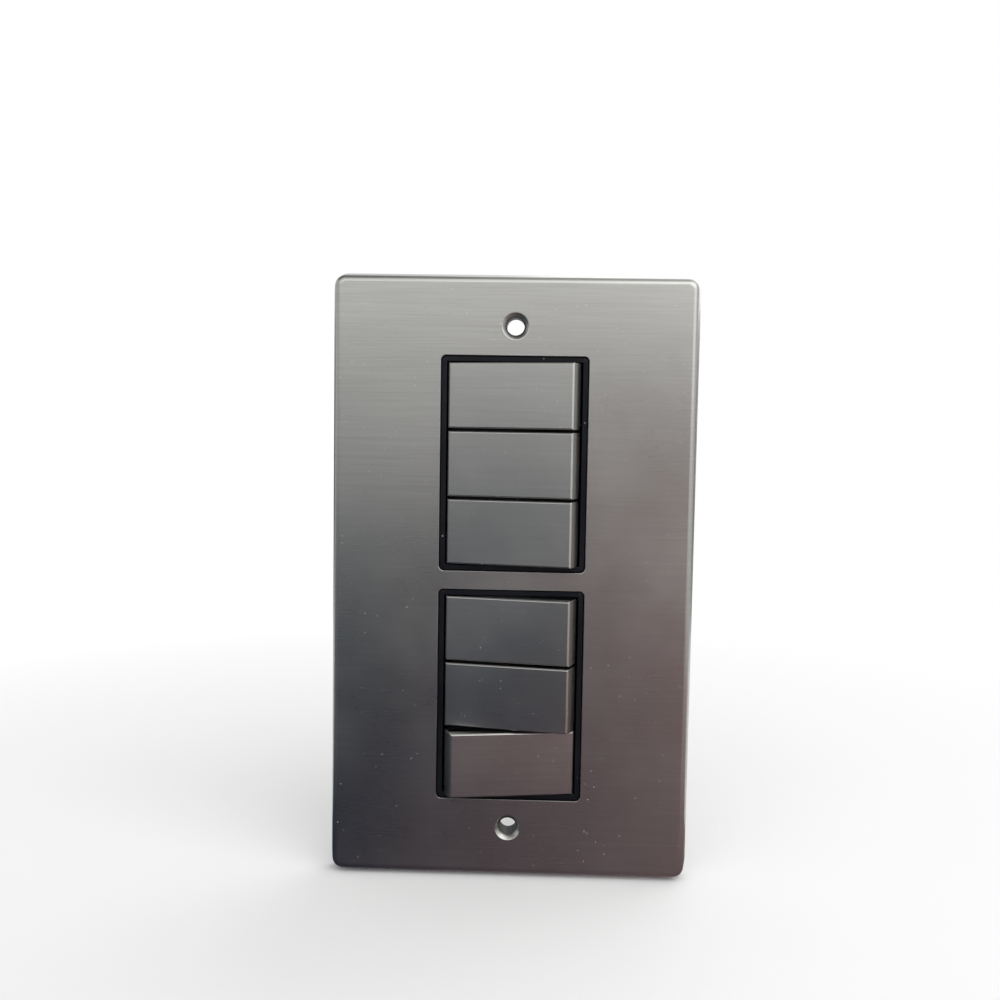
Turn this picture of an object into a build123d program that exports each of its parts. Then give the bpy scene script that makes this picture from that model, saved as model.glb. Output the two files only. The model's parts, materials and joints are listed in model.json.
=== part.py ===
from build123d import *
from math import asin, cos, degrees, radians, sin, sqrt, tan
import os

# Six-gang light switch for a double wall box, stood with its long side up.
# Millimetres, X to the right, Z up, the front faces -Y and the wall is the plane Y = 0.
# The origin is midway between the two fixing holes, on the wall.

# Front plate, a pressed metal tray
plate_width = 88.0
plate_height = 146.0
plate_depth = 6.5
plate_sheet = 1.0
plate_draft = 12.0
plate_corner_radius = 3.6
plate_edge_radius = 1.6
window_corner_radius = 1.3
window_bar = 4.4
fixing_spacing = 120.6
fixing_hole_diameter = 4.2
countersink_angle = 90.0
tab_length = 8.0
tab_spacing = 80.0
tab_overlap = 2.4
tab_root = 0.8

# Rockers and their caps
gangs_per_module = 3
rocker_pitch = 16.15
rocker_gap = 0.7
rocker_radius = 15.77
rocker_height = 5.39
rocker_tilt = 9.5
rocker_wall = 1.2
rocker_crown = 1.5
skirt_lap = 0.2
cap_sheet = 0.5
cap_skirt = 2.5
cap_flap = 2.5
cap_fit = 0.05
cap_bevel = 0.3
pin_diameter = 3.0
pin_fit = 0.05
pin_end_gap = 0.65

# Inserts that frame the rockers
rim_width = 1.25
window_fit = 0.2
rim_recess = 0.4
pivot_depth = 2.45
swing_clearance = 0.25
end_clearance = 0.275
side_clearance = 0.3
roof_clearance = 0.3
flap_room = 0.6
bearing_wall = 1.25
partition = 2.65
flange_lip = 2.0
flange_thickness = 1.6
insert_wall = 2.15

# Mounting frame inside the tray
frame_web = 2.5
frame_fit = 0.3
frame_rim = 1.5
frame_corner = 2.0
module_fit = 0.2
collar_wall = 1.6
collar_reach = 2.0
boss_size = 8.6
rib_width = 1.6

# Spring, plunger and contact blade
plunger_diameter = 3.6
plunger_fit = 0.05
plunger_reach = 9.0
plunger_length = 6.0
nose_length = 1.2
barrel_wall = 0.95
barrel_exposure = 3.0
spring_seat = 2.4
spring_fit = 0.1
spring_wire = 0.5
blade_gap = 0.1
blade_length = 16.4
blade_width = 4.6
blade_thickness = 0.6
blade_tilt = 7.0
lug_width = 1.4
lug_margin = 0.2
pad_length = 1.6
pad_thickness = 0.5
contact_gap = 0.06

# Terminals and their screws
strip_thickness = 0.8
strip_width = 6.6
contact_rise = 1.4
contact_width = 3.6
fold_run = 0.86
cradle_length = 4.0
cradle_gap = 0.15
cradle_lip = 0.25
notch_fit = 0.25
stop_width = 2.4
block_length = 6.2
block_width = 8.0
block_lead = 0.6
clamp_height = 3.2
clamp_width = 4.4
clamp_wall = 2.0
screw_diameter = 3.4
screw_fit = 0.02
screw_bite = 1.2
screw_slot = 0.8
screw_recess = 0.4
earth_rise = 0.6
earth_screw_stand = 1.4

# Rear bases
base_partition = 3.2
base_wall = 1.2
base_rear_wall = 1.4
bay_fit = 0.2
tower_wall = 1.6
access_size = 5.0
clip_spacing = 28.0
clip_width = 6.0
clip_arm = 1.4
clip_nose = 0.9
clip_gap = 0.3
clip_ear = 1.6
clip_seat = 0.06
post_fit = 0.1

# Sides of the small round pieces
pin_sides = 10
screw_sides = 8
inner_sides = 8

# Levels along Y, from the front of the plate to the back of the bases
front_level = -plate_depth
plate_back = front_level + plate_sheet
rim_level = front_level + rim_recess
web_front = plate_back + flange_thickness
web_back = web_front + frame_web
joint_level = collar_reach
pivot_level = rim_level + pivot_depth
blade_top = pivot_level + plunger_reach + blade_gap
blade_level = blade_top + blade_thickness
blade_dip = blade_length / 2 * sin(radians(blade_tilt))
stop_level = blade_level + blade_dip + contact_gap
contact_level = stop_level + pad_thickness
strip_level = contact_level + contact_rise
floor_level = strip_level + strip_thickness
block_front = strip_level - block_lead
block_back = floor_level + clamp_height + clamp_wall
base_back = block_back + base_rear_wall

# Widths along X and heights along Z
rocker_width = rocker_pitch - rocker_gap
opening_width = 2 * (rocker_radius + swing_clearance)
opening_height = (gangs_per_module - 1) * rocker_pitch + rocker_width + 2 * end_clearance
rim_outer_width = opening_width + 2 * rim_width
rim_outer_height = opening_height + 2 * rim_width
window_width = rim_outer_width + 2 * window_fit
window_height = rim_outer_height + 2 * window_fit
module_centre = (window_height + window_bar) / 2
module_width = opening_width + 2 * insert_wall
module_height = opening_height + 2 * insert_wall
skirt_width = rocker_pitch - partition - 2 * side_clearance
pin_reach = skirt_width / 2 + side_clearance + (partition - pin_end_gap) / 2
pin_span = (gangs_per_module - 1) / 2 * rocker_pitch + pin_reach + pin_end_gap / 2
slot_half = pin_diameter / 2 + pin_fit
cap_bottom = rocker_height - cap_skirt
flap_bottom = cap_bottom - cap_flap
tilt_drop = rocker_radius * sin(radians(rocker_tilt))
skirt_drop = tilt_drop + skirt_lap
cradle_inner = blade_width + 2 * lug_margin
bay_outer = module_width / 2 - base_wall
block_centre = bay_outer - bay_fit - block_length / 2
block_inner = block_centre - block_length / 2
tray_inset = plate_sheet / cos(radians(plate_draft)) - plate_back * tan(radians(plate_draft))
frame_width = plate_width - 2 * (tray_inset + frame_fit)
frame_height = plate_height - 2 * (tray_inset + frame_fit)
frame_opening_width = module_width + 2 * module_fit
frame_opening_height = module_height + 2 * module_fit
collar_outer = frame_opening_width / 2 + collar_wall
clip_inner = collar_outer + 2 * clip_gap
earth_offset = (collar_outer + frame_width / 2 - frame_rim) / 2

# Gangs are numbered from the top. The first five have their right end raised, the last its left end.
module_centres = {"upper": module_centre, "lower": -module_centre}
rest_sides = [-1, -1, -1, -1, -1, 1]


def wall_plane(level, height=0.0):
    """A sketch plane across X and Z at a level along Y; a positive extrude goes to the front."""
    return Plane((0, level, height), x_dir=(1, 0, 0), z_dir=(0, -1, 0))


def cross_plane(level, height, turn=0.0):
    """A sketch plane across X and Y at a height, turned about Z; its second axis points into the wall."""
    turned = radians(turn)
    return Plane((0, level, height), x_dir=(cos(turned), sin(turned), 0), z_dir=(0, 0, 1))


def side_plane(offset, level, height):
    """A sketch plane across Y and Z at a place along X; a positive extrude goes to the right."""
    return Plane((offset, level, height), x_dir=(0, 1, 0), z_dir=(1, 0, 0))


def gang_height(gang):
    """The height of a gang's middle, where gang 0 is the highest."""
    module = module_centre if gang < gangs_per_module else -module_centre
    place = gang % gangs_per_module
    return module + ((gangs_per_module - 1) / 2 - place) * rocker_pitch


def save(part, name):
    """Label a finished piece and write its file."""
    part.label = name
    export_step(part, f"parts/{name}.step")


def rocker_face(plane, depth):
    """A sketch plane across a rocker at a depth behind its pivot; a positive extrude goes to the front."""
    return Plane(plane.from_local_coords((0, depth, 0)), plane.x_dir, -plane.y_dir)


def tray_form(inset, depth):
    """The drafted form of the plate, inset by a thickness of its sheet."""
    narrowing = 2 * inset / cos(radians(plate_draft))
    with BuildPart() as form:
        with BuildSketch(wall_plane(0)):
            RectangleRounded(plate_width - narrowing, plate_height - narrowing, plate_corner_radius - inset)
        extrude(amount=depth, taper=plate_draft)
    return form.part


def rocker_profile(plane, radius, top, bottom):
    """A rocker's section: flat above and below, with both ends curved about its pivot."""
    top_angle = degrees(asin(top / radius))
    bottom_angle = degrees(asin(bottom / radius))
    with BuildSketch(plane) as section:
        with BuildLine():
            Line((0, -top), (sqrt(radius**2 - top**2), -top))
            CenterArc((0, 0), radius, -top_angle, top_angle - bottom_angle)
            Line((sqrt(radius**2 - bottom**2), -bottom), (0, -bottom))
            mirror(about=Plane.YZ)
        make_face()
    return section.sketch


def strip_profile(plane, points):
    """The section of a flat strip bent along a line of points through its thickness."""
    with BuildSketch(plane) as section:
        with BuildLine():
            centre_line = Polyline(*points)
            offset(centre_line, amount=strip_thickness / 2, side=Side.BOTH, kind=Kind.INTERSECTION)
        make_face()
    return section.sketch


os.makedirs("parts", exist_ok=True)

# Front plate: a drafted tray with a soft front edge, two windows and two countersunk holes.
# Four tabs bent in from its rim hold the mounting frame.
with BuildPart() as front_plate:
    add(tray_form(0, plate_depth))
    fillet(front_plate.faces().sort_by(Axis.Y)[0].edges(), plate_edge_radius)
    add(tray_form(plate_sheet, plate_depth - plate_sheet), mode=Mode.SUBTRACT)
    with BuildSketch(wall_plane(front_level)):
        with GridLocations(0, 2 * module_centre, 1, 2):
            RectangleRounded(window_width, window_height, window_corner_radius)
    extrude(amount=-2 * plate_sheet, mode=Mode.SUBTRACT)
    with Locations(wall_plane(front_level)):
        with GridLocations(0, fixing_spacing, 1, 2):
            sink_radius = fixing_hole_diameter / 2 + plate_sheet * tan(radians(countersink_angle / 2))
            CounterSinkHole(fixing_hole_diameter / 2, sink_radius, plate_sheet, countersink_angle)
    tab_inner = frame_width / 2 - tab_overlap
    tab_outer = plate_width / 2 - tab_root
    with BuildSketch(wall_plane(web_back + plate_sheet)):
        with GridLocations(tab_inner + tab_outer, tab_spacing, 2, 2):
            Rectangle(tab_outer - tab_inner, tab_length)
    extrude(amount=plate_sheet)
save(front_plate.part, "front_plate")

# Mounting frame: a web across the tray, a rim that seats on the plate, a collar round each
# module, a boss for each fixing screw, slots for the module clips and room for the earth terminal.
with BuildPart() as mounting_frame:
    with BuildSketch(wall_plane(web_back)) as outline:
        Rectangle(frame_width, frame_height)
        chamfer(outline.vertices(), frame_corner)
    extrude(amount=web_back - plate_back)
    with BuildSketch(wall_plane(web_front)):
        Rectangle(frame_width - 2 * frame_rim, frame_height - 2 * frame_rim)
    extrude(amount=flange_thickness, mode=Mode.SUBTRACT)
    with BuildSketch(wall_plane(joint_level)):
        with GridLocations(0, 2 * module_centre, 1, 2):
            Rectangle(frame_opening_width + 2 * collar_wall, frame_opening_height + 2 * collar_wall)
    extrude(amount=joint_level - web_back)
    with BuildSketch(wall_plane(0)):
        with GridLocations(0, fixing_spacing, 1, 2):
            Rectangle(frame_width - 2 * tab_overlap, rib_width)
    extrude(amount=-web_back)
    with BuildSketch(wall_plane(0)):
        with GridLocations(0, fixing_spacing, 1, 2):
            Rectangle(boss_size, boss_size)
    extrude(amount=-plate_back)
    with BuildSketch(wall_plane(joint_level)):
        with GridLocations(0, 2 * module_centre, 1, 2):
            Rectangle(frame_opening_width, frame_opening_height)
        with GridLocations(0, fixing_spacing, 1, 2):
            Circle(fixing_hole_diameter / 2)
        with GridLocations(2 * clip_inner + clip_arm, 2 * module_centre, 2, 2):
            with GridLocations(0, clip_spacing, 1, 2):
                Rectangle(clip_arm + 2 * clip_gap, clip_width + 2 * clip_gap)
        with Locations((-earth_offset, 0)):
            Rectangle(block_length + 2 * bay_fit, block_width + 2 * bay_fit)
    extrude(amount=joint_level - plate_back, mode=Mode.SUBTRACT)
save(mounting_frame.part, "mounting_frame")

# Inserts: a rim that shows in the window, a flange held behind the plate, and bearing walls
# between the rockers whose tops slope away, and step down at the ends, so that the caps clear them.
# The pivot pins drop into the bearing slots from behind, and posts on the base close the slots.
for name, centre in module_centres.items():
    with BuildPart() as insert:
        with BuildSketch(wall_plane(joint_level, centre)):
            Rectangle(module_width, module_height)
        extrude(amount=joint_level - web_front)
        with BuildSketch(wall_plane(web_front, centre)):
            Rectangle(rim_outer_width + 2 * flange_lip, rim_outer_height + 2 * flange_lip)
        extrude(amount=flange_thickness)
        with BuildSketch(wall_plane(plate_back, centre)):
            RectangleRounded(rim_outer_width, rim_outer_height, window_corner_radius - window_fit)
        extrude(amount=plate_back - rim_level)
        bearing_half = pin_diameter / 2 + bearing_wall
        slope = tan(radians(rocker_tilt))
        roof_top = cap_bottom / cos(radians(rocker_tilt)) - roof_clearance - bearing_half * slope
        step_start = rocker_radius - cap_sheet - flap_room
        roof_end = roof_top - (step_start - bearing_half) * slope
        flap_drop = tilt_drop - flap_bottom * cos(radians(rocker_tilt))
        with BuildSketch(cross_plane(pivot_level, centre)):
            with BuildLine():
                Polyline(
                    (0, -roof_top),
                    (bearing_half, -roof_top),
                    (step_start, -roof_end),
                    (step_start, flap_drop + roof_clearance),
                    (opening_width / 2, flap_drop + roof_clearance),
                    (opening_width / 2, -2 * pivot_depth),
                    (0, -2 * pivot_depth),
                )
                mirror(about=Plane.YZ)
            make_face()
        extrude(amount=opening_height / 2, both=True, mode=Mode.SUBTRACT)
        with BuildSketch(wall_plane(joint_level, centre)):
            with GridLocations(0, rocker_pitch, 1, gangs_per_module):
                Rectangle(opening_width, skirt_width + 2 * side_clearance)
        extrude(amount=joint_level - rim_level, mode=Mode.SUBTRACT)
        with BuildSketch(cross_plane(pivot_level, centre)):
            slot_length = slot_half + joint_level - pivot_level
            with Locations((0, slot_length / 2 - slot_half)):
                Rectangle(2 * slot_half, slot_length)
        extrude(amount=pin_span, both=True, mode=Mode.SUBTRACT)
    save(insert.part, f"{name}_insert")

# Bases: a contact chamber and two terminal bays for each gang, a wire entry in each side,
# an opening over each terminal screw, and four clips that hook on the mounting frame.
for name, centre in module_centres.items():
    with BuildPart() as base:
        with BuildSketch(wall_plane(base_back, centre)):
            Rectangle(module_width, module_height)
        extrude(amount=base_back - joint_level)
        with BuildSketch(wall_plane(block_front, centre)):
            with GridLocations(0, rocker_pitch, 1, gangs_per_module):
                Rectangle(2 * bay_outer, rocker_pitch - base_partition)
        extrude(amount=block_front - joint_level, mode=Mode.SUBTRACT)
        with BuildSketch(wall_plane(floor_level, centre)):
            with GridLocations(0, rocker_pitch, 1, gangs_per_module):
                Rectangle(2 * (block_inner - bay_fit), rocker_pitch - base_partition)
        extrude(amount=floor_level - joint_level, mode=Mode.SUBTRACT)
        with BuildSketch(wall_plane(block_back, centre)):
            with GridLocations(2 * block_centre, rocker_pitch, 2, gangs_per_module):
                Rectangle(block_length + 2 * bay_fit, block_width + 2 * bay_fit)
        extrude(amount=block_back - joint_level, mode=Mode.SUBTRACT)
        with BuildSketch(wall_plane(base_back, centre)):
            with GridLocations(2 * block_centre, rocker_pitch, 2, gangs_per_module):
                Rectangle(access_size, access_size)
        extrude(amount=base_rear_wall, mode=Mode.SUBTRACT)
        entry_level = floor_level + clamp_height / 2
        entry_planes = [side_plane(place, entry_level, centre) for place in (-module_width / 2, bay_outer)]
        with BuildSketch(*entry_planes):
            with GridLocations(0, rocker_pitch, 1, gangs_per_module):
                Rectangle(clamp_height, clamp_width)
        extrude(amount=base_wall, mode=Mode.SUBTRACT)
        with BuildSketch(wall_plane(base_back, centre)):
            Rectangle(2 * (block_inner - bay_fit - tower_wall), module_height)
            tower_gap = rocker_pitch - block_width - 2 * (bay_fit + tower_wall)
            gap_inner = block_inner - bay_fit + tower_wall
            with GridLocations(gap_inner + module_width / 2, rocker_pitch, 2, gangs_per_module - 1):
                Rectangle(module_width / 2 - gap_inner, tower_gap)
        extrude(amount=base_back - floor_level - tower_wall, mode=Mode.SUBTRACT)
        ear_outer = clip_inner + clip_arm
        with BuildSketch(wall_plane(joint_level + clip_ear, centre)):
            with GridLocations(bay_outer + ear_outer, clip_spacing, 2, 2):
                Rectangle(ear_outer - bay_outer, clip_width)
        extrude(amount=clip_ear)
        nose_back = web_front - clip_seat
        clip_planes = [cross_plane(0, centre + side * clip_spacing / 2) for side in (-1, 1)]
        with BuildSketch(*clip_planes):
            with BuildLine():
                Polyline(
                    (clip_inner, joint_level),
                    (ear_outer, joint_level),
                    (ear_outer, nose_back),
                    (ear_outer + clip_nose, nose_back),
                    (ear_outer, nose_back - clip_nose),
                    (clip_inner, nose_back - clip_nose),
                    close=True,
                )
            make_face()
            mirror(about=Plane.YZ)
        extrude(amount=clip_width / 2, both=True)
        with BuildSketch(wall_plane(joint_level, centre)):
            with GridLocations(0, rocker_pitch, 1, gangs_per_module - 1):
                Rectangle(2 * (slot_half - post_fit), partition - 2 * post_fit)
            end_post = pin_span - post_fit - gangs_per_module / 2 * rocker_pitch + partition / 2
            with GridLocations(0, 2 * pin_span - 2 * post_fit - end_post, 1, 2):
                Rectangle(2 * (slot_half - post_fit), end_post)
        extrude(amount=joint_level - pivot_level - slot_half)
    save(base.part, f"{name}_base")


def make_cap(plane, name):
    """A rocker's metal cap: a thin formed cover with bevelled edges, open behind, and longer at its ends."""
    inner_radius = rocker_radius - cap_sheet
    outer = rocker_profile(plane, rocker_radius, rocker_height, cap_bottom)
    inner = rocker_profile(plane, inner_radius, rocker_height - cap_sheet, cap_bottom)
    flaps_outer = rocker_profile(plane, rocker_radius, cap_bottom, flap_bottom)
    flaps_inner = rocker_profile(plane, inner_radius, cap_bottom, flap_bottom)
    with BuildPart() as cap:
        extrude(outer, amount=rocker_width / 2, both=True)
        chamfer(cap.faces().sort_by(Axis(plane.origin, plane.y_dir))[0].edges(), cap_bevel)
        extrude(flaps_outer, amount=rocker_width / 2, both=True)
        extrude(flaps_inner, amount=rocker_width / 2, both=True, mode=Mode.SUBTRACT)
        extrude(inner, amount=rocker_width / 2 - cap_sheet, both=True, mode=Mode.SUBTRACT)
    save(cap.part, name)


def make_rocker(plane, name):
    """A moulded rocker: a crown that fills its cap, a hollow skirt, a spring barrel and two pivot pins.

    The skirt is flush with the cap's ends and reaches low enough to close the gap at a raised end.
    """
    crown_top = rocker_height - cap_sheet
    skirt_top = flap_bottom - cap_fit
    body_radius = rocker_radius - cap_sheet - cap_fit
    crown = rocker_profile(plane, body_radius, crown_top, cap_bottom)
    core = rocker_profile(plane, body_radius, cap_bottom, skirt_top)
    skirt = rocker_profile(plane, rocker_radius, skirt_top, -skirt_drop)
    hollow_top = crown_top - rocker_crown
    hollow_length = 2 * (sqrt(body_radius**2 - hollow_top**2) - rocker_wall)
    barrel_end = plunger_reach - barrel_exposure
    bore_radius = plunger_diameter / 2 + plunger_fit
    with BuildPart() as rocker:
        extrude(crown, amount=rocker_width / 2 - cap_sheet - cap_fit, both=True)
        extrude(core, amount=skirt_width / 2, both=True)
        extrude(skirt, amount=skirt_width / 2, both=True)
        with BuildSketch(rocker_face(plane, skirt_drop)):
            Rectangle(hollow_length, skirt_width - 2 * rocker_wall)
        extrude(amount=skirt_drop + hollow_top, mode=Mode.SUBTRACT)
        with BuildSketch(rocker_face(plane, barrel_end)):
            RegularPolygon(bore_radius + barrel_wall, inner_sides, major_radius=False)
        extrude(amount=barrel_end + hollow_top)
        with BuildSketch(rocker_face(plane, barrel_end)):
            RegularPolygon(bore_radius, inner_sides, major_radius=False)
        extrude(amount=barrel_end + spring_seat, mode=Mode.SUBTRACT)
        for side in (-1, 1):
            with BuildSketch(plane.offset(side * skirt_width / 2)):
                RegularPolygon(pin_diameter / 2, pin_sides)
            extrude(amount=side * (pin_reach - skirt_width / 2))
    save(rocker.part, name)


def make_plunger(plane, name):
    """A plunger: a round shank with a tapered nose that bears on the contact blade."""
    with BuildPart() as plunger:
        with BuildSketch(rocker_face(plane, plunger_reach)):
            RegularPolygon(plunger_diameter / 2, inner_sides, major_radius=False)
        extrude(amount=plunger_length)
        nose = plunger.faces().sort_by(Axis(plane.origin, plane.y_dir))[-1]
        chamfer(nose.edges(), nose_length)
    save(plunger.part, name)


def make_spring(plane, name):
    """A compression spring as a sleeve of its coils' outer and inner size."""
    spring_outer = plunger_diameter / 2 + plunger_fit - spring_fit
    spring_length = plunger_reach - plunger_length + spring_seat
    with BuildPart() as spring:
        with BuildSketch(rocker_face(plane, plunger_reach - plunger_length)):
            RegularPolygon(spring_outer, inner_sides, major_radius=False)
            RegularPolygon(spring_outer - spring_wire, inner_sides, major_radius=False, mode=Mode.SUBTRACT)
        extrude(amount=spring_length)
    save(spring.part, name)


def make_blade(plane, name):
    """A contact blade: a flat see-saw with two side lugs at its middle and a pad under its right end."""
    blade_half = blade_length / 2
    lug_reach = cradle_inner / 2 + strip_thickness - lug_margin
    blade_face = Plane(plane.origin, plane.x_dir, -plane.y_dir)
    with BuildPart() as blade:
        with BuildSketch(blade_face):
            Rectangle(blade_length, blade_width)
            Rectangle(lug_width, 2 * lug_reach)
        extrude(amount=blade_thickness)
        with BuildSketch(blade_face):
            with Locations((blade_half - pad_length / 2, 0)):
                Rectangle(pad_length, contact_width - 2 * lug_margin)
        extrude(amount=-pad_thickness)
    save(blade.part, name)


def clamp_block(centre_x, height, front, clamp_front):
    """A terminal's clamp: a block with a square way through for the wire and a hole for its screw."""
    back = clamp_front + clamp_height + clamp_wall
    with BuildPart() as block:
        with BuildSketch(wall_plane(back, height)):
            with Locations((centre_x, 0)):
                Rectangle(block_length, block_width)
        extrude(amount=back - front)
        with BuildSketch(side_plane(centre_x, clamp_front + clamp_height / 2, height)):
            Rectangle(clamp_height, clamp_width)
        extrude(amount=block_length / 2, both=True, mode=Mode.SUBTRACT)
        with BuildSketch(wall_plane(back, height)):
            with Locations((centre_x, 0)):
                RegularPolygon(screw_diameter / 2 + screw_fit, screw_sides, major_radius=False)
        extrude(amount=clamp_wall, mode=Mode.SUBTRACT)
    return block.part


def make_common_terminal(height, name):
    """A common terminal: clamp at the left, floor strip, rest stop and a two-eared cradle for the blade."""
    strip_middle = strip_level + strip_thickness / 2
    cradle_half = cradle_length / 2
    notch_half = lug_width / 2 + notch_fit
    ear_front = blade_top - cradle_lip
    notch_floor = blade_level + cradle_gap
    plane = cross_plane(0, height)
    strip = strip_profile(plane, [(-block_inner, strip_middle), (cradle_half, strip_middle)])
    with BuildPart() as terminal:
        add(clamp_block(-block_centre, height, block_front, floor_level))
        extrude(strip, amount=strip_width / 2, both=True)
        for side in (-1, 1):
            with BuildSketch(plane.offset(side * cradle_inner / 2)):
                with BuildLine():
                    Polyline(
                        (0, floor_level),
                        (cradle_half, floor_level),
                        (cradle_half, ear_front),
                        (notch_half, ear_front),
                        (notch_half, notch_floor),
                        (0, notch_floor),
                    )
                    mirror(about=Plane.YZ)
                make_face()
            extrude(amount=side * strip_thickness)
        with BuildSketch(wall_plane(strip_level, height)):
            with Locations((pad_length / 2 - blade_length / 2, 0)):
                Rectangle(pad_length, stop_width)
        extrude(amount=strip_level - stop_level)
    save(terminal.part, name)


def make_load_terminal(height, name):
    """A load terminal: clamp at the right and a strip folded up into the fixed contact."""
    strip_middle = strip_level + strip_thickness / 2
    contact_middle = contact_level + strip_thickness / 2
    contact_inner = blade_length / 2 - 2 * pad_length
    fold = [
        (block_inner, strip_middle),
        (blade_length / 2 + fold_run, strip_middle),
        (blade_length / 2, contact_middle),
        (contact_inner, contact_middle),
    ]
    strip = strip_profile(cross_plane(0, height), fold)
    with BuildPart() as terminal:
        add(clamp_block(block_centre, height, block_front, floor_level))
        extrude(strip, amount=contact_width / 2, both=True)
    save(terminal.part, name)


def screw_shape(centre_x, height, tip, head):
    """A headless slotted screw along Y, from its tip in the clamp to its slotted end."""
    with BuildPart() as screw:
        with BuildSketch(wall_plane(head, height)):
            with Locations((centre_x, 0)):
                RegularPolygon(screw_diameter / 2, screw_sides, major_radius=False)
        extrude(amount=head - tip)
        with BuildSketch(wall_plane(head, height)):
            with Locations((centre_x, 0)):
                Rectangle(2 * screw_diameter, screw_slot)
        extrude(amount=screw_slot, mode=Mode.SUBTRACT)
    return screw.part


screws = []
for gang, side in enumerate(rest_sides):
    number = gang + 1
    height = gang_height(gang)
    rocker_plane = cross_plane(pivot_level, height, side * rocker_tilt)
    blade_plane = cross_plane(blade_level, height, -side * blade_tilt)
    make_cap(rocker_plane, f"rocker_cap_{number}")
    make_rocker(rocker_plane, f"rocker_{number}")
    make_plunger(rocker_plane, f"plunger_{number}")
    make_spring(rocker_plane, f"rocker_spring_{number}")
    make_blade(blade_plane, f"contact_blade_{number}")
    make_common_terminal(height, f"common_terminal_{number}")
    make_load_terminal(height, f"load_terminal_{number}")
    screw_tip = floor_level + clamp_height - screw_bite
    for place in (-block_centre, block_centre):
        screws.append(screw_shape(place, height, screw_tip, base_back - screw_recess))

# Earth terminal: a clamp that stands on the back of the plate, through the mounting frame.
earth_terminal = clamp_block(-earth_offset, 0, plate_back, earth_rise)
save(earth_terminal, "earth_terminal")

earth_back = earth_rise + clamp_height + clamp_wall
earth_tip = earth_rise + clamp_height - screw_bite
screws.append(screw_shape(-earth_offset, 0, earth_tip, earth_back + earth_screw_stand))
save(Compound(children=screws), "terminal_screws")
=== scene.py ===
"""A six-gang light switch: its finished pieces and materials, the studio and the camera.

Lengths are in metres, apart from the named sizes that are said to be in millimetres.
"""
import json
import math

import bpy
from mathutils import Matrix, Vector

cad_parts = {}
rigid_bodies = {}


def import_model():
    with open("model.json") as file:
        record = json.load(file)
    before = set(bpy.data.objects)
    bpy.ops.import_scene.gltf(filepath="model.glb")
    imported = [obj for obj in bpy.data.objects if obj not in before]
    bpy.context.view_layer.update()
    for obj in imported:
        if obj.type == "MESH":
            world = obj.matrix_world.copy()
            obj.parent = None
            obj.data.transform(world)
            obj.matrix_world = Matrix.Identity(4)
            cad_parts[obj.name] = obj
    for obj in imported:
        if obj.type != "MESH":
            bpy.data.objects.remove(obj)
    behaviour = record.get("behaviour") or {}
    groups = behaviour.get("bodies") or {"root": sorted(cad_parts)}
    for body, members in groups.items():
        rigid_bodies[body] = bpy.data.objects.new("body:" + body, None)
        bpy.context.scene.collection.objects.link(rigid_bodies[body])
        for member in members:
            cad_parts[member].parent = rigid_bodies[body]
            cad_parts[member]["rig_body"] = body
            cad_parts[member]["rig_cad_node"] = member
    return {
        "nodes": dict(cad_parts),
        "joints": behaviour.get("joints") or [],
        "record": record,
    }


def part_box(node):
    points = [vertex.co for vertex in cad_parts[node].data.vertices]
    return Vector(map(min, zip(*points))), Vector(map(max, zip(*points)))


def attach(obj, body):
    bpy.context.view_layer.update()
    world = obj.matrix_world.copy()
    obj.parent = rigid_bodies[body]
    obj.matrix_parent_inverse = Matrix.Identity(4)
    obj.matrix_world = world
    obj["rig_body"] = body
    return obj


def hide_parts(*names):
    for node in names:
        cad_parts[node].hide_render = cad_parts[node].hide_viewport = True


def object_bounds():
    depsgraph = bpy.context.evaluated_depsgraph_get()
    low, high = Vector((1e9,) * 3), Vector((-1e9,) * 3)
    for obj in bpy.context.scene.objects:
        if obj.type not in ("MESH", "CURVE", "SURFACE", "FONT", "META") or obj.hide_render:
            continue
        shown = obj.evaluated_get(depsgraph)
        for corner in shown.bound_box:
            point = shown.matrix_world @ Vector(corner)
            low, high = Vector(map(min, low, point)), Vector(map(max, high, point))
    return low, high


MM = 0.001
GANGS = range(1, 7)
SIDES = (-1, 1)
MODULES = ("upper", "lower")

# Widths of the rounded edges, in millimetres
PLATE_EDGE = 0.10
PLATE_EDGE_SEGMENTS = 3
PLATE_RING = 0.25
FRAME_EDGE = 0.05
INSERT_EDGE = 0.14
BASE_EDGE = 0.12
EARTH_EDGE = 0.16
CAP_EDGE = 0.07
ROCKER_EDGE = 0.12
BLADE_EDGE = 0.08
COMMON_EDGE = 0.05
LOAD_EDGE = 0.10
PLUNGER_EDGE = 0.12
SCREW_EDGE = 0.07

# Points closer than this, in metres, become one
WELD = 2e-6

# Angles in degrees: faces that join to one, edges that are rounded and edges that stay sharp
FLAT_ANGLE = 1.0
QUAD_SHAPE_ANGLE = 60
ROUNDED_ANGLE = 30
SHARP_ANGLE = 40
COIL_SHARP_ANGLE = 50

# How squarely a picked face has to look along an axis
FRONT_FACING = 0.999
END_FACING = 0.9

# A spring in its rocker's frame, in millimetres: Z to the front and the pivot at 0
WIRE_SIDES = 10
WIRE_RADIUS = 0.23
COIL_RADIUS = 1.50
COIL_PITCH = 0.82
COIL_TURNS = 6
COIL_START = -2.75
END_TURN_PITCH = 0.44
FOOT_START = -2.77
HEAD_START = 1.72
HELIX_STEPS = 28

# A plunger in its rocker's frame, in millimetres
TURNED_SIDES = 40
PLUNGER_RADIUS = 1.78
PLUNGER_LENGTH = 6.0
PLUNGER_CENTRE = -6.0
NOSE_RADIUS = 1.25
NOSE_SEGMENTS = 8
BORE_WALL = 0.75
BORE_DEPTH = 1.2

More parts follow.
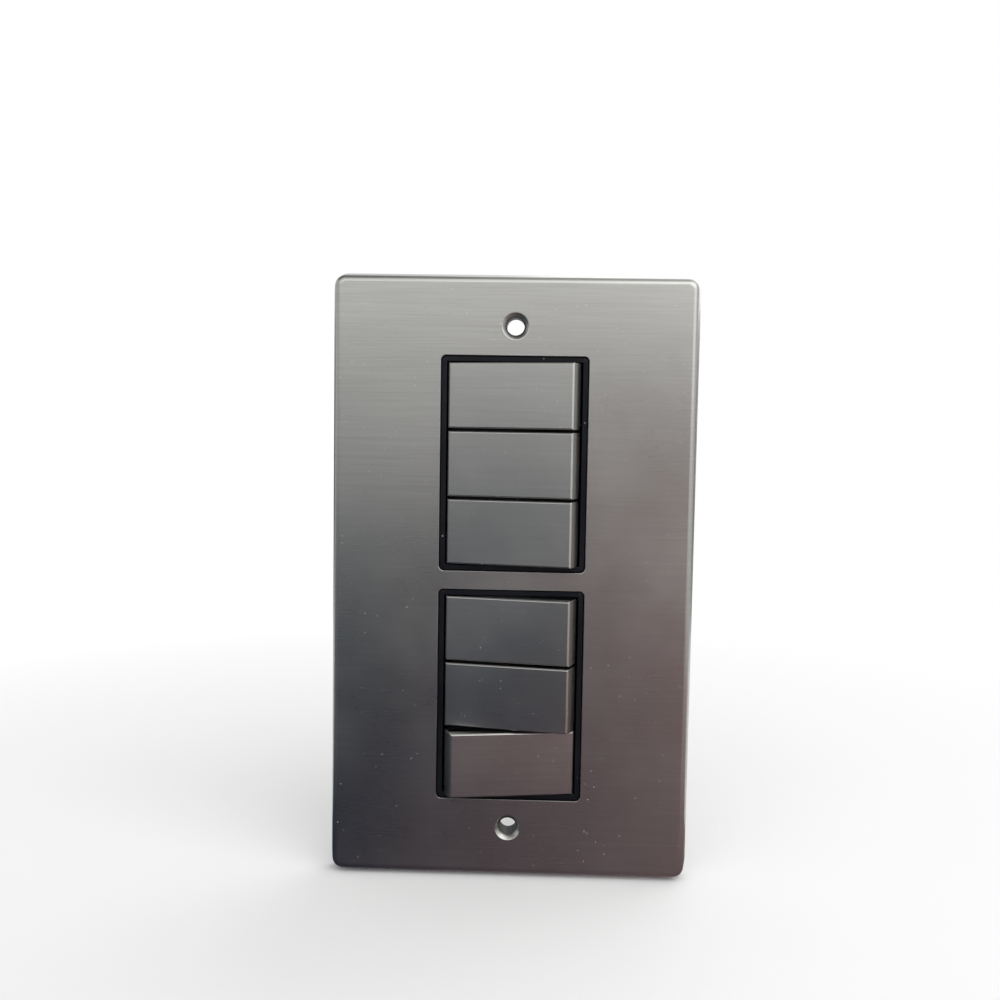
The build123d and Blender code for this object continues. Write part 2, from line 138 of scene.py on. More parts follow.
# Clamp screws, in millimetres, from the tip at 0 to the slotted end
CLAMP_SCREW = 4.2
EARTH_SCREW = 4.6
SCREW_RADIUS = 1.68
SCREW_TOP = 1.1
SCREW_NECK = 0.26
SCREW_TIP = 0.3
SCREW_TIP_SEGMENTS = 3
SLOT_LENGTH = 6
SLOT_WIDTH = 0.8
SLOT_HEIGHT = 1.6
THREAD_SIDES = 3
THREAD_SECTION = 0.19
THREAD_RADIUS = 1.48
THREAD_PITCH = 0.5
THREAD_START = 0.4
THREAD_FREE = 1.6

# Brush lines: the wide set beside the fine one, as shares of its counts, and the weight of each set
WIDE_LINES = 0.16
WIDE_LENGTH = 0.5
FINE_WEIGHT = 0.75
WIDE_WEIGHT = 0.25

# Noise values that give the ends of a tone and of a smear's mask
TONE_LOW = 0.3
TONE_HIGH = 0.7
SMEAR_LOW = 0.42
SMEAR_HIGH = 0.72

# Dust on metal and on mouldings
METAL_DUST = (0.58, 0.57, 0.56)
MOULDING_DUST = (0.45, 0.45, 0.46)
MOULDING_DUST_DENSITY = 900.0

# Heights of the textures in metres, their scales, and how far they change the roughness
BRUSH_DEPTH = 3e-6
BRUSH_ROUGHER = 0.03
BRUSH_SMOOTHER = 0.02
MARK_ROUGHER = 0.07
GRAIN_ROUGHER = 0.06
GRAIN_SMOOTHER = 0.05
STAMPED_DEPTH = 3e-6
STAMPED_GRAIN = 3000.0
TARNISH_SCALE = 160.0
TARNISH_ROUGHER = 0.16

# The photograph's camera: its axes, its place in metres and its focal length in pixels
CAMERA_RIGHT = (0.99930, 0.03378, 0.01601)
CAMERA_UP = (-0.01836, 0.07051, 0.99734)
CAMERA_FORWARD = (-0.03256, 0.99694, -0.07108)
CAMERA_PLACE = (4.994 * MM, -252.30 * MM, 36.879 * MM)
FOCAL_PIXELS = 1038.67
IMAGE_PIXELS = 1000
SENSOR_WIDTH = 36.0
CLIP_START = 0.01
CLIP_END = 50.0

# The studio, in metres
FLOOR_SIZE = 8.0
FLOOR_COLOUR = (0.86, 0.86, 0.86, 1)
FLOOR_FADE_START = 0.10
FLOOR_FADE_END = 0.32
WHITE = (1, 1, 1, 1)
WORLD_LIGHT = 0.55
WORLD_SEEN = 1.0
CARD_LIFT = 0.0001
FRONT_CARDS_Y = -1.55
BACK_CARDS_X = 0.44
BACK_CARDS_Y = 0.30
BACK_CARDS_Z = 0.0135
BACK_CARDS_SIZE = (0.62, 0.173)

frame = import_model()
nodes = frame["nodes"]
cad_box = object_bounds()
joints = {joint["name"]: joint for joint in frame["joints"]}
slots = {part["node"]: part["material_slot"] for part in frame["record"]["subparts"]}


# Shader groups that several materials share

def shader_group(name, inputs, outputs):
    """A new node group with float inputs and outputs; gives its tree and its two end nodes."""
    tree = bpy.data.node_groups.new(name, "ShaderNodeTree")
    for label, value in inputs.items():
        socket = tree.interface.new_socket(
            name=label, in_out="INPUT", socket_type="NodeSocketFloat"
        )
        socket.default_value = value
    for label in outputs:
        tree.interface.new_socket(name=label, in_out="OUTPUT", socket_type="NodeSocketFloat")
    return tree, tree.nodes.new("NodeGroupInput"), tree.nodes.new("NodeGroupOutput")


def math_node(tree, operation, first, second):
    """A math node on two sockets or numbers; gives its result."""
    node = tree.nodes.new("ShaderNodeMath")
    node.operation = operation
    for socket, value in zip(node.inputs, (first, second)):
        if isinstance(value, (int, float)):
            socket.default_value = value
        else:
            tree.links.new(value, socket)
    return node.outputs[0]


def object_point(tree):
    """The Object coordinates of the shaded point."""
    return tree.nodes.new("ShaderNodeTexCoord").outputs["Object"]


def stretched_point(tree, along, across):
    """Object coordinates scaled by one amount along X and Y and another along Z."""
    point = object_point(tree)
    scale = tree.nodes.new("ShaderNodeCombineXYZ")
    tree.links.new(along, scale.inputs["X"])
    tree.links.new(along, scale.inputs["Y"])
    tree.links.new(across, scale.inputs["Z"])
    product = tree.nodes.new("ShaderNodeVectorMath")
    product.operation = "MULTIPLY"
    tree.links.new(point, product.inputs[0])
    tree.links.new(scale.outputs[0], product.inputs[1])
    return product.outputs[0]


def noise_at(tree, point, scale, detail, roughness):
    """A noise texture's value at a point."""
    noise = tree.nodes.new("ShaderNodeTexNoise")
    noise.inputs["Detail"].default_value = detail
    noise.inputs["Roughness"].default_value = roughness
    if isinstance(scale, (int, float)):
        noise.inputs["Scale"].default_value = scale
    else:
        tree.links.new(scale, noise.inputs["Scale"])
    tree.links.new(point, noise.inputs["Vector"])
    return noise.outputs["Fac"]


def spread(tree, value, low, high):
    """Stretch a value so that low gives 0 and high gives 1, and hold it there."""
    node = tree.nodes.new("ShaderNodeMapRange")
    node.inputs["From Min"].default_value = low
    node.inputs["From Max"].default_value = high
    tree.links.new(value, node.inputs["Value"])
    return node.outputs["Result"]


def brush_group():
    """Fine brush lines along X: a height for the bump and a tone that drifts from line to line."""
    tree, given, out = shader_group(
        "brush lines", {"Lines": 9000.0, "Length": 60.0}, ["Height", "Tone"]
    )
    lines = given.outputs["Lines"]
    length = given.outputs["Length"]
    fine_point = stretched_point(tree, length, lines)
    fine = noise_at(tree, fine_point, scale=1.0, detail=3.0, roughness=0.6)
    wide_lines = math_node(tree, "MULTIPLY", lines, WIDE_LINES)
    wide_length = math_node(tree, "MULTIPLY", length, WIDE_LENGTH)
    wide_point = stretched_point(tree, wide_length, wide_lines)
    wide = noise_at(tree, wide_point, scale=1.0, detail=2.0, roughness=0.5)
    fine_share = math_node(tree, "MULTIPLY", fine, FINE_WEIGHT)
    wide_share = math_node(tree, "MULTIPLY", wide, WIDE_WEIGHT)
    both = math_node(tree, "ADD", fine_share, wide_share)
    tree.links.new(fine, out.inputs["Height"])
    tree.links.new(spread(tree, both, TONE_LOW, TONE_HIGH), out.inputs["Tone"])
    return tree


def grain_group():
    """The skin of a moulding: a fine eroded grain and a slow drift of its tone."""
    tree, given, out = shader_group(
        "moulded grain", {"Grain": 5200.0, "Drift": 70.0}, ["Height", "Tone"]
    )
    point = object_point(tree)
    grain = noise_at(tree, point, given.outputs["Grain"], detail=2.0, roughness=0.55)
    drift = noise_at(tree, point, given.outputs["Drift"], detail=4.0, roughness=0.6)
    tree.links.new(grain, out.inputs["Height"])
    tree.links.new(spread(tree, drift, TONE_LOW, TONE_HIGH), out.inputs["Tone"])
    return tree


def dust_group():
    """Scattered specks of dust: a mask that is 0 beside the specks and up to 1 on the palest."""
    tree, given, out = shader_group(
        "dust specks", {"Density": 1400.0, "Share": 0.06, "Size": 0.15}, ["Mask"]
    )
    cells = tree.nodes.new("ShaderNodeTexVoronoi")
    tree.links.new(object_point(tree), cells.inputs["Vector"])
    tree.links.new(given.outputs["Density"], cells.inputs["Scale"])
    near = math_node(tree, "LESS_THAN", cells.outputs["Distance"], given.outputs["Size"])
    pick = tree.nodes.new("ShaderNodeSeparateColor")
    tree.links.new(cells.outputs["Color"], pick.inputs["Color"])
    chosen = math_node(tree, "LESS_THAN", pick.outputs["Red"], given.outputs["Share"])
    speck = math_node(tree, "MULTIPLY", near, chosen)
    pale = math_node(tree, "MULTIPLY", speck, pick.outputs["Green"])
    tree.links.new(pale, out.inputs["Mask"])
    return tree


def handling_group():
    """Faint marks of handling: a soft mask of smears."""
    tree, given, out = shader_group("handling marks", {"Scale": 38.0}, ["Mask"])
    smears = noise_at(
        tree, object_point(tree), given.outputs["Scale"], detail=5.0, roughness=0.62
    )
    tree.links.new(spread(tree, smears, SMEAR_LOW, SMEAR_HIGH), out.inputs["Mask"])
    return tree


BRUSH = brush_group()
GRAIN = grain_group()
DUST = dust_group()
HANDLING = handling_group()


# Materials

class Finish:
    """A material with a principled shader, and short ways to feed it."""

    def __init__(self, name, **values):
        self.material = bpy.data.materials.new(name)
        self.material.use_nodes = True
        self.tree = self.material.node_tree
        self.shader = self.tree.nodes["Principled BSDF"]
        for socket, value in values.items():
            self.shader.inputs[socket.replace("_", " ")].default_value = value

    def effect(self, tree, **values):
        """Place a shared group with its own values; gives its outputs."""
        node = self.tree.nodes.new("ShaderNodeGroup")
        node.node_tree = tree
        for socket, value in values.items():
            node.inputs[socket].default_value = value
        return node.outputs

    def colours(self, mask, first, second):
        """A colour that goes from the first to the second as the mask goes from 0 to 1."""
        mix = self.tree.nodes.new("ShaderNodeMix")
        mix.data_type = "RGBA"
        for socket, value in (("A", first), ("B", second)):
            target = [s for s in mix.inputs if s.name == socket and s.type == "RGBA"][0]
            if isinstance(value, tuple):
                target.default_value = (*value, 1.0)
            else:
                self.tree.links.new(value, target)
        self.tree.links.new(mask, mix.inputs["Factor"])
        return [s for s in mix.outputs if s.type == "RGBA"][0]

    def between(self, mask, low, high):
        """A number that goes from low to high as the mask goes from 0 to 1."""
        node = self.tree.nodes.new("ShaderNodeMapRange")
        node.inputs["To Min"].default_value = low
        node.inputs["To Max"].default_value = high
        self.tree.links.new(mask, node.inputs["Value"])
        return node.outputs["Result"]

    def feed(self, socket, value):
        """Link a value to the shader."""
        self.tree.links.new(value, self.shader.inputs[socket])

    def bump(self, height, distance):
        """Raise the surface by a height, at a distance in metres."""
        node = self.tree.nodes.new("ShaderNodeBump")
        node.inputs["Strength"].default_value = 1.0
        node.inputs["Distance"].default_value = distance
        self.tree.links.new(height, node.inputs["Height"])
        self.feed("Normal", node.outputs["Normal"])


def brushed_metal(name, dark, light, rough, lines, dust):
    """Brushed metal with lines along X, faint handling marks and a little dust."""
    finish = Finish(name)
    brush = finish.effect(BRUSH, Lines=lines)
    marks = finish.effect(HANDLING)["Mask"]
    specks = finish.effect(DUST, Share=dust)["Mask"]
    metal = finish.colours(brush["Tone"], dark, light)
    finish.feed("Base Color", finish.colours(specks, metal, METAL_DUST))
    brushed = finish.between(brush["Tone"], rough + BRUSH_ROUGHER, rough - BRUSH_SMOOTHER)
    marked = math_node(finish.tree, "MULTIPLY", marks, MARK_ROUGHER)
    finish.feed("Roughness", math_node(finish.tree, "ADD", brushed, marked))
    finish.feed("Metallic", finish.between(specks, 1.0, 0.0))
    finish.bump(brush["Height"], BRUSH_DEPTH)
    return finish.material


def moulding(name, dark, light, rough, grain_depth, dust=0.0, specular=0.4):
    """Moulded plastic with an eroded grain and a slow drift of tone."""
    finish = Finish(name, Specular_IOR_Level=specular)
    grain = finish.effect(GRAIN)
    body = finish.colours(grain["Tone"], dark, light)
    if dust:
        specks = finish.effect(DUST, Share=dust, Density=MOULDING_DUST_DENSITY)["Mask"]
        body = finish.colours(specks, body, MOULDING_DUST)
    finish.feed("Base Color", body)
    worn = finish.between(grain["Tone"], rough - GRAIN_SMOOTHER, rough + GRAIN_ROUGHER)
    finish.feed("Roughness", worn)
    finish.bump(grain["Height"], grain_depth)
    return finish.material


def stamped_metal(name, dark, light, rough):
    """Stamped or turned bright metal with tarnish in soft patches."""
    finish = Finish(name, Metallic=1.0)
    marks = finish.effect(HANDLING, Scale=TARNISH_SCALE)["Mask"]
    grain = finish.effect(GRAIN, Grain=STAMPED_GRAIN)
    finish.feed("Base Color", finish.colours(marks, light, dark))
    finish.feed("Roughness", finish.between(marks, rough, rough + TARNISH_ROUGHER))
    finish.bump(grain["Height"], STAMPED_DEPTH)
    return finish.material


materials = {
    "plate_metal": brushed_metal(
        "plate brushed metal", dark=(0.305, 0.305, 0.290), light=(0.375, 0.375, 0.360),
        rough=0.28, lines=7000.0, dust=0.05,
    ),
    "cap_metal": brushed_metal(
        "cap brushed metal", dark=(0.306, 0.304, 0.292), light=(0.374, 0.372, 0.358),
        rough=0.29, lines=8000.0, dust=0.10,
    ),
    "insert_plastic": moulding(
        "insert black", dark=(0.003, 0.0036, 0.006), light=(0.007, 0.008, 0.011),
        rough=0.40, grain_depth=5e-6, dust=0.05, specular=0.12,
    ),
    "rocker_plastic": moulding(
        "rocker black", dark=(0.006, 0.006, 0.008), light=(0.012, 0.012, 0.014),
        rough=0.40, grain_depth=5e-6, specular=0.3,
    ),
    "frame_plastic": moulding(
        "frame black", dark=(0.016, 0.016, 0.018), light=(0.030, 0.030, 0.032),
        rough=0.52, grain_depth=1.2e-5,
    ),
    "base_plastic": moulding(
        "base off-white", dark=(0.66, 0.65, 0.60), light=(0.76, 0.75, 0.71),
        rough=0.45, grain_depth=8e-6,
    ),
    "plunger_plastic": moulding(
        "plunger nylon", dark=(0.68, 0.66, 0.58), light=(0.78, 0.77, 0.71),
        rough=0.35, grain_depth=3e-6,
    ),
    "brass": stamped_metal(
        "terminal brass", dark=(0.46, 0.30, 0.12), light=(0.74, 0.55, 0.25), rough=0.24,
    ),
    "screw_steel": stamped_metal(
        "screw zinc", dark=(0.42, 0.41, 0.36), light=(0.66, 0.65, 0.60), rough=0.26,
    ),
    "spring_steel": stamped_metal(
        "spring wire", dark=(0.40, 0.40, 0.41), light=(0.60, 0.60, 0.61), rough=0.22,
    ),
    "blade_copper": stamped_metal(
        "blade copper", dark=(0.50, 0.24, 0.13), light=(0.78, 0.45, 0.29), rough=0.24,
    ),
}


# Ways of working on one piece

def only(piece):
    """Select one object alone and make it active."""
    bpy.ops.object.select_all(action="DESELECT")
    piece.select_set(True)
    bpy.context.view_layer.objects.active = piece


def bake_place():
    """Put the selected object's place, turn and scale into its mesh."""
    bpy.ops.object.transform_apply(location=True, rotation=True, scale=True)


def copy_of(piece, name):
    """A copy of a piece with its own mesh."""
    only(piece)
    bpy.ops.object.duplicate()
    twin = bpy.context.active_object
    twin.name = name
    return twin


def join_to(piece, others):
    """Join other objects to a piece, which keeps its name."""
    for other in others:
        other.select_set(True)
    piece.select_set(True)
    bpy.context.view_layer.objects.active = piece
    bpy.ops.object.join()


def pick_faces(piece, test):
    """Select the faces whose normal passes a test, and enter edit mode on them."""
    only(piece)
    mesh = piece.data
    for part in (mesh.vertices, mesh.edges, mesh.polygons):
        part.foreach_set("select", [False] * len(part))
    for face in mesh.polygons:
        face.select = bool(test(face.normal))
    bpy.ops.object.mode_set(mode="EDIT")
    bpy.ops.mesh.select_mode(type="FACE")


def apply_modifier(piece, kind, **values):
    """Add a modifier, set it and apply it."""
    only(piece)
    modifier = piece.modifiers.new(kind.lower(), kind)
    for key, value in values.items():
        setattr(modifier, key, value)
    bpy.ops.object.modifier_apply(modifier=modifier.name)


def soften(piece, width, segments=2):
    """Round the sharp edges by a width in millimetres and shade the piece smoothly."""
    apply_modifier(
        piece, "BEVEL", width=width * MM, segments=segments, limit_method="ANGLE",
        angle_limit=math.radians(ROUNDED_ANGLE), use_clamp_overlap=False,
        miter_outer="MITER_ARC", loop_slide=False, face_strength_mode="FSTR_ALL",
    )
    bpy.ops.object.shade_smooth_by_angle(angle=math.radians(SHARP_ANGLE))
    apply_modifier(
        piece, "WEIGHTED_NORMAL", keep_sharp=True, weight=100, thresh=1e-7,
        use_face_influence=True,
    )


def dress(piece, node, body):
    """Give a finished piece the finish and the body of the node that it stands for."""
    piece.data.materials.clear()
    piece.data.materials.append(materials[slots[node]])
    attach(piece, body)
    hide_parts(node)


def softened_copy(node, width, segments=2, front_ring=0.0):
    """A merged copy of a node with its sharp edges rounded, which stands for the node.

    A ring of faces inside the front face's edge keeps that face flat beside a rounded edge.
    """
    body = nodes[node]["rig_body"]
    piece = copy_of(nodes[node], node + "_finished")
    del piece["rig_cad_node"]
    bpy.ops.object.mode_set(mode="EDIT")
    bpy.ops.mesh.select_all(action="SELECT")
    bpy.ops.mesh.remove_doubles(threshold=WELD)
    bpy.ops.mesh.tris_convert_to_quads(
        face_threshold=math.radians(FLAT_ANGLE), shape_threshold=math.radians(QUAD_SHAPE_ANGLE)
    )
    bpy.ops.object.mode_set(mode="OBJECT")
    if front_ring:
        pick_faces(piece, lambda normal: normal.y < -FRONT_FACING)
        bpy.ops.mesh.inset(thickness=front_ring * MM)
        bpy.ops.object.mode_set(mode="OBJECT")
    soften(piece, width, segments)
    dress(piece, node, body)


def settle(piece, matrix):
    """Put a piece modelled about the origin in its place, with the place in its mesh."""
    only(piece)
    piece.matrix_world = matrix
    bake_place()


def rocker_place(gang):
    """From a rocker's own frame, with Z to the front and the pivot at 0, to its place at rest.

    At rest a rocker leans by half its travel, away from the side that it can tip to.
    """
    joint = joints[f"rocker_{gang}_tilt"]
    rest_lean = -sum(joint["range_deg"]) / 2
    turn = Matrix.Rotation(math.radians(rest_lean), 4, "Z")
    to_front = Matrix.Rotation(math.radians(90), 4, "X")
    return Matrix.Translation(joint["pos_m"]) @ turn @ to_front


def wall_place(x, y, z):
    """From a frame with Z into the wall to a place in metres."""
    return Matrix.Translation((x, y, z)) @ Matrix.Rotation(math.radians(-90), 4, "X")


# Turned, coiled and threaded pieces

def turned_blank(radius, length, centre):
    """A cylinder along Z, in millimetres, with its middle at a height."""
    bpy.ops.object.select_all(action="DESELECT")
    bpy.ops.mesh.primitive_cylinder_add(
        vertices=TURNED_SIDES, radius=radius * MM, depth=length * MM,
        location=(0, 0, centre * MM),
    )
    blank = bpy.context.active_object
    bake_place()
    return blank


def helix(name, section_sides, section_radius, radius, pitch, turns, start):
    """A round or edged section wound about Z, in millimetres, closed at both ends."""
    bpy.ops.object.select_all(action="DESELECT")
    bpy.ops.mesh.primitive_circle_add(
        vertices=section_sides, radius=section_radius * MM,
        location=(radius * MM, 0, start * MM), rotation=(math.radians(90), 0, 0),
    )
    coil = bpy.context.active_object
    coil.name = name
    bake_place()
    apply_modifier(
        coil, "SCREW", axis="Z", screw_offset=pitch * MM, iterations=turns,
        steps=HELIX_STEPS, render_steps=HELIX_STEPS, use_merge_vertices=False,
    )
    bpy.ops.object.mode_set(mode="EDIT")
    bpy.ops.mesh.select_all(action="SELECT")
    bpy.ops.mesh.fill_holes(sides=0)
    bpy.ops.mesh.select_all(action="SELECT")
    bpy.ops.mesh.normals_make_consistent(inside=False)
    bpy.ops.object.mode_set(mode="OBJECT")
    return coil


def make_spring():
    """A compression spring along Z from the plunger to the roof of the barrel.

    A closer turn at each end gives it a flat seat.
    """
    spring = helix(
        "spring_coil", WIRE_SIDES, WIRE_RADIUS, COIL_RADIUS, COIL_PITCH, COIL_TURNS, COIL_START
    )
    for name, start in (("spring_foot", FOOT_START), ("spring_head", HEAD_START)):
        turn = helix(name, WIRE_SIDES, WIRE_RADIUS, COIL_RADIUS, END_TURN_PITCH, 1, start)
        join_to(spring, [turn])
    bpy.ops.object.shade_smooth_by_angle(angle=math.radians(COIL_SHARP_ANGLE))
    return spring


def make_plunger():
    """A turned plunger along Z: a domed nose behind, a shank and a bored end for the spring."""
    plunger = turned_blank(PLUNGER_RADIUS, PLUNGER_LENGTH, PLUNGER_CENTRE)
    pick_faces(plunger, lambda normal: normal.z < -END_FACING)
    bpy.ops.mesh.bevel(offset=NOSE_RADIUS * MM, segments=NOSE_SEGMENTS, affect="EDGES")
    bpy.ops.object.mode_set(mode="OBJECT")
    pick_faces(plunger, lambda normal: normal.z > END_FACING)
    bpy.ops.mesh.inset(thickness=BORE_WALL * MM)
    bpy.ops.mesh.extrude_region_move(
        TRANSFORM_OT_translate={"value": (0, 0, -BORE_DEPTH * MM)}
    )
    bpy.ops.object.mode_set(mode="OBJECT")
    soften(plunger, PLUNGER_EDGE)
    return plunger


def make_screw(length):
    """A slotted clamp screw along Z, from its tip at 0 to its slotted end."""
    screw = turned_blank(SCREW_RADIUS, SCREW_TOP, length - SCREW_TOP / 2)
    pick_faces(screw, lambda normal: normal.z < -END_FACING)
    bpy.ops.mesh.inset(thickness=SCREW_NECK * MM)
    bpy.ops.mesh.extrude_region_move(
        TRANSFORM_OT_translate={"value": (0, 0, -(length - SCREW_TOP) * MM)}
    )
    bpy.ops.mesh.bevel(offset=SCREW_TIP * MM, segments=SCREW_TIP_SEGMENTS, affect="EDGES")
    bpy.ops.object.mode_set(mode="OBJECT")
    bpy.ops.object.select_all(action="DESELECT")
    bpy.ops.mesh.primitive_cube_add(size=1.0, location=(0, 0, length * MM))
    slot = bpy.context.active_object
    slot.scale = (SLOT_LENGTH * MM, SLOT_WIDTH * MM, SLOT_HEIGHT * MM)
    bake_place()
    apply_modifier(screw, "BOOLEAN", object=slot, operation="DIFFERENCE", solver="EXACT")
    bpy.data.objects.remove(slot)
    soften(screw, SCREW_EDGE)
    turns = int((length - THREAD_FREE) / THREAD_PITCH)
    thread = helix(
        "thread", THREAD_SIDES, THREAD_SECTION, THREAD_RADIUS, THREAD_PITCH, turns, THREAD_START
    )
    join_to(screw, [thread])
    return screw


def fit_springs_and_plungers():
    """Put a spring and a plunger in each rocker's barrel."""
    masters = {"rocker_spring": make_spring(), "plunger": make_plunger()}
    for kind, master in masters.items():
        for gang in GANGS:
            piece = copy_of(master, f"{kind}_{gang}_finished")
            settle(piece, rocker_place(gang))
            dress(piece, f"{kind}_{gang}", f"switch_{gang}")
        bpy.data.objects.remove(master)


def fit_screws():
    """Put the clamp screws of the bases and the earth terminal in place, as one group.

    A clamp block is as wide as the earth terminal and lies at the outer end of its terminal.
    """
    low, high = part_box("terminal_screws")
    earth_low, earth_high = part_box("earth_terminal")
    block_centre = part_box("load_terminal_1")[1].x - (earth_high.x - earth_low.x) / 2
    clamp_screw = make_screw(CLAMP_SCREW)
    group = []
    for gang in GANGS:
        height = joints[f"rocker_{gang}_tilt"]["pos_m"][2]
        for side in SIDES:
            screw = copy_of(clamp_screw, f"screw_{gang}_{side}")
            settle(screw, wall_place(side * block_centre, high.y - CLAMP_SCREW * MM, height))
            group.append(screw)
    bpy.data.objects.remove(clamp_screw)
    earth_screw = make_screw(EARTH_SCREW)
    settle(earth_screw, wall_place((earth_low.x + earth_high.x) / 2, low.y, 0))
    join_to(earth_screw, group)
    earth_screw.name = "terminal_screws_finished"
    dress(earth_screw, "terminal_screws", "housing")


def finish_nodes():
    """Round the edges of the pressed, moulded and stamped pieces."""
    softened_copy("front_plate", PLATE_EDGE, PLATE_EDGE_SEGMENTS, PLATE_RING)
    softened_copy("mounting_frame", FRAME_EDGE)
    for module in MODULES:
        softened_copy(f"{module}_insert", INSERT_EDGE)
        softened_copy(f"{module}_base", BASE_EDGE)
    softened_copy("earth_terminal", EARTH_EDGE)
    for gang in GANGS:
        softened_copy(f"rocker_cap_{gang}", CAP_EDGE)
        softened_copy(f"rocker_{gang}", ROCKER_EDGE)
        softened_copy(f"contact_blade_{gang}", BLADE_EDGE)
        softened_copy(f"common_terminal_{gang}", COMMON_EDGE)
        softened_copy(f"load_terminal_{gang}", LOAD_EDGE)


# Floor, light and camera

def seen_directly(tree):
    """1 for rays from the camera and for those that gloss or clear stuff sends on, or else 0."""
    path = tree.nodes.new("ShaderNodeLightPath")
    camera_ray = path.outputs["Is Camera Ray"]
    seen = math_node(tree, "MAXIMUM", camera_ray, path.outputs["Is Glossy Ray"])
    return math_node(tree, "MAXIMUM", seen, path.outputs["Is Transmission Ray"])


def studio_plane(name, centre, size, upright=False):
    """A flat or upright plane with an empty material; gives the plane and the material's tree."""
    bpy.ops.object.select_all(action="DESELECT")
    bpy.ops.mesh.primitive_plane_add(
        size=1.0, location=centre, rotation=(math.radians(90 * upright), 0, 0)
    )
    plane = bpy.context.active_object
    plane.name = name
    plane.scale = (*size, 1.0)
    bake_place()
    material = bpy.data.materials.new(name)
    material.use_nodes = True
    material.node_tree.nodes.clear()
    plane.data.materials.append(material)
    return plane, material.node_tree


def make_floor():
    """A pale floor under the plate's lower edge, which fades to white away from it."""
    floor, tree = studio_plane("floor", (0, 0, cad_box[0].z), (FLOOR_SIZE, FLOOR_SIZE))
    out = tree.nodes.new("ShaderNodeOutputMaterial")
    diffuse = tree.nodes.new("ShaderNodeBsdfDiffuse")
    diffuse.inputs["Color"].default_value = FLOOR_COLOUR
    glow = tree.nodes.new("ShaderNodeEmission")
    glow.inputs["Color"].default_value = WHITE
    mix = tree.nodes.new("ShaderNodeMixShader")
    reach = tree.nodes.new("ShaderNodeVectorMath")
    reach.operation = "LENGTH"
    tree.links.new(object_point(tree), reach.inputs[0])
    away = spread(tree, reach.outputs["Value"], FLOOR_FADE_START, FLOOR_FADE_END)
    tree.links.new(math_node(tree, "MULTIPLY", away, seen_directly(tree)), mix.inputs["Fac"])
    tree.links.new(diffuse.outputs[0], mix.inputs[1])
    tree.links.new(glow.outputs[0], mix.inputs[2])
    tree.links.new(mix.outputs[0], out.inputs["Surface"])


def make_card(name, centre, size, upright, shades):
    """A card that only gloss sees, flat or upright, with colours that change from left to right.

    The shades are pairs of a distance to the right, in metres, and the colour there.
    """
    card, tree = studio_plane(name, centre, size, upright)
    out = tree.nodes.new("ShaderNodeOutputMaterial")
    glow = tree.nodes.new("ShaderNodeEmission")
    parts = tree.nodes.new("ShaderNodeSeparateXYZ")
    tree.links.new(object_point(tree), parts.inputs[0])
    first, last = shades[0][0], shades[-1][0]
    ramp = tree.nodes.new("ShaderNodeValToRGB")
    tree.links.new(spread(tree, parts.outputs["X"], first, last), ramp.inputs["Fac"])
    stops = ramp.color_ramp.elements
    while len(stops) < len(shades):
        stops.new(0.5)
    for stop, (distance, colour) in zip(stops, shades):
        stop.position = (distance - first) / (last - first)
        stop.color = (*colour, 1.0)
    tree.links.new(ramp.outputs["Color"], glow.inputs["Color"])
    tree.links.new(glow.outputs[0], out.inputs["Surface"])
    card.visible_camera = False
    card.visible_diffuse = False
    card.visible_shadow = False
    card.visible_transmission = False


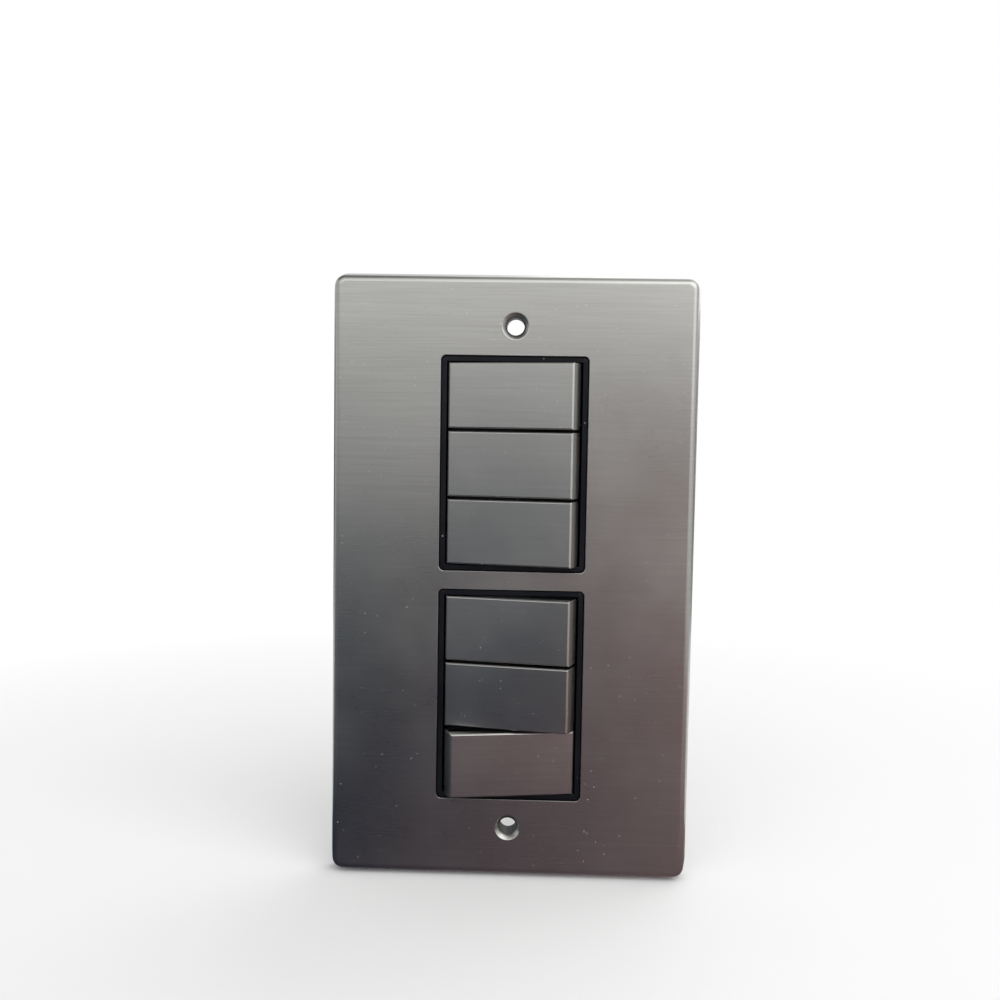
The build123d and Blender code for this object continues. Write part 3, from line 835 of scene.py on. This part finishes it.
def make_cards():
    """The cards that give the metal its cool left, warm right and dark lower tones."""
    make_card(
        "floor_card", centre=(-0.62, -0.77, cad_box[0].z + CARD_LIFT), size=(1.76, 1.6),
        upright=False,
        shades=[
            (-0.22, (0.15, 0.185, 0.22)),
            (-0.055, (0.022, 0.032, 0.062)),
            (0.16, (0.55, 0.36, 0.355)),
        ],
    )
    make_card(
        "side_card", centre=(0.44, FRONT_CARDS_Y, 0.03), size=(0.9, 0.2), upright=True,
        shades=[(-0.05, (0.08, 0.065, 0.075)), (0.16, (0.26, 0.19, 0.185))],
    )
    make_card(
        "left_card", centre=(-0.90, FRONT_CARDS_Y, -0.01), size=(0.96, 0.13), upright=True,
        shades=[(-1.2, (0.40, 0.41, 0.42)), (-0.42, (0.05, 0.05, 0.06))],
    )
    make_card(
        "back_left_card", centre=(-BACK_CARDS_X, BACK_CARDS_Y, BACK_CARDS_Z),
        size=BACK_CARDS_SIZE, upright=True,
        shades=[(-0.60, (0.10, 0.10, 0.11)), (-0.15, (0.04, 0.04, 0.05))],
    )
    make_card(
        "back_right_card", centre=(BACK_CARDS_X, BACK_CARDS_Y, BACK_CARDS_Z),
        size=BACK_CARDS_SIZE, upright=True,
        shades=[(0.15, (0.22, 0.21, 0.20)), (0.60, (0.50, 0.48, 0.46))],
    )
    make_card(
        "ceiling_card", centre=(0, -0.3, 1.2), size=(3.0, 3.0), upright=False,
        shades=[(-0.22, (0.30, 0.30, 0.30)), (0.2, (1.0, 1.0, 1.0))],
    )


def make_world():
    """A white surround for the eye and for gloss, and softer light from it on everything else."""
    world = bpy.data.worlds.new("studio")
    bpy.context.scene.world = world
    world.use_nodes = True
    tree = world.node_tree
    back = tree.nodes["Background"]
    level = tree.nodes.new("ShaderNodeMapRange")
    level.inputs["To Min"].default_value = WORLD_LIGHT
    level.inputs["To Max"].default_value = WORLD_SEEN
    tree.links.new(seen_directly(tree), level.inputs["Value"])
    tree.links.new(level.outputs["Result"], back.inputs["Strength"])
    back.inputs["Color"].default_value = WHITE


def make_lamp(name, location, size, power):
    """A soft rectangular lamp that points at the origin."""
    bpy.ops.object.light_add(type="AREA", location=location)
    lamp = bpy.context.active_object
    lamp.name = name
    lamp.data.shape = "RECTANGLE"
    lamp.data.size, lamp.data.size_y = size
    lamp.data.energy = power
    lamp.rotation_euler = (-lamp.location).to_track_quat("-Z", "Y").to_euler()


def make_lamps():
    """Soft light from high in front, from the front right and from behind."""
    make_lamp("front_high", location=(0.12, -0.62, 0.54), size=(1.6, 0.8), power=4.6)
    make_lamp("front_right", location=(0.65, -0.75, 0.55), size=(1.2, 1.1), power=4.0)
    make_lamp("back_right", location=(0.5, 0.7, 0.5), size=(1.25, 1.25), power=5.0)


def make_camera():
    """The camera at the photograph's place, with its measured turn and view."""
    axes = zip(CAMERA_RIGHT, CAMERA_UP, CAMERA_FORWARD, CAMERA_PLACE)
    rows = [[right, up, -forward, place] for right, up, forward, place in axes]
    bpy.ops.object.camera_add()
    camera = bpy.context.active_object
    camera.matrix_world = Matrix(rows + [[0, 0, 0, 1]])
    camera.data.sensor_width = SENSOR_WIDTH
    camera.data.lens = SENSOR_WIDTH * FOCAL_PIXELS / IMAGE_PIXELS
    camera.data.clip_start = CLIP_START
    camera.data.clip_end = CLIP_END
    bpy.context.scene.camera = camera


fit_springs_and_plungers()
fit_screws()
finish_nodes()
make_floor()
make_cards()
make_world()
make_lamps()
make_camera()
bpy.context.scene.view_settings.view_transform = "Standard"
